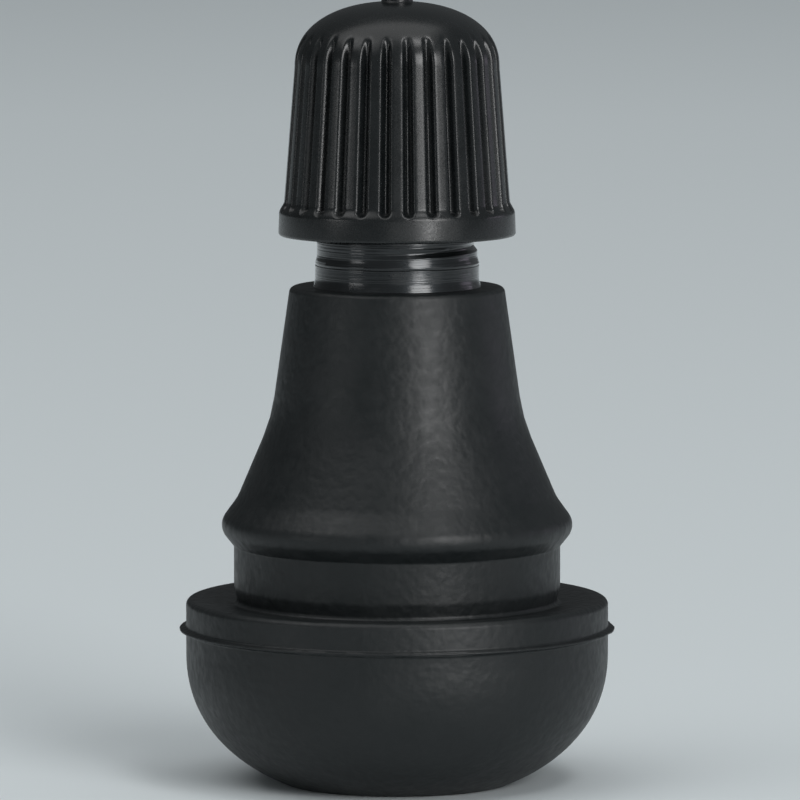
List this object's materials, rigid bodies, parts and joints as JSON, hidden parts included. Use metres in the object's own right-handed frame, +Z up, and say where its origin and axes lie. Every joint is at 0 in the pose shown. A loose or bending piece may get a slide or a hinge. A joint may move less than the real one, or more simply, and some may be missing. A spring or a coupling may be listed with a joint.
{
  "type": "tyre valve",
  "caption": "Snap-in rubber tyre valve with a rounded base, rim groove and retaining lip, a threaded metal stem holding a sprung core, and a fluted screw-on dust cap.",
  "frame": {"origin": "middle of the flat under the rubber base, on the stem's axis", "axes": "+Z up along the stem towards the cap; +X along the bar of the core's plug; +Y completes the right-handed frame, and the picture looks along +Y"},
  "size_m": [0.021, 0.021, 0.0381],
  "materials": {
    "body_rubber": "satin moulded rubber",
    "stem_metal": "dark bright plating over brass",
    "core_brass": "turned",
    "gasket_rubber": "smooth moulded rubber",
    "seal_rubber": "smooth moulded rubber",
    "spring_steel": "drawn wire",
    "cap_plastic": "moulded, semi-gloss"
  },
  "bodies": {
    "valve": {"rubber_body": "body_rubber", "stem": "stem_metal", "core_plug": "core_brass", "core_barrel": "core_brass", "core_gasket": "gasket_rubber", "core_spring": "spring_steel"},
    "pin": {"core_pin": "core_brass", "core_cup": "core_brass", "cup_seal": "seal_rubber"},
    "cap_seal": {"cap_seal": "seal_rubber"},
    "cap": {"cap": "cap_plastic"}
  },
  "joints": [
    {"name": "cap_lift", "type": "slide", "parent": "valve", "child": "cap_seal", "axis": [0, 0, 1], "range_m": [0, 0.00675]},
    {"name": "cap_turn", "type": "hinge", "parent": "cap_seal", "child": "cap", "pos_m": [0, 0, 0.0264], "axis": [0, 0, 1], "range_deg": [0, 3060.1]},
    {"name": "pin_press", "type": "slide", "parent": "valve", "child": "pin", "axis": [0, 0, -1], "range_m": [0, 0.0012], "stiffness_N_per_m": 1500, "springref_m": -0.002, "deforming": ["core_spring"]}
  ],
  "couplings": [
    {"joint": "cap_turn", "follows": "cap_lift", "rad_per_m": 7913.3}
  ]
}
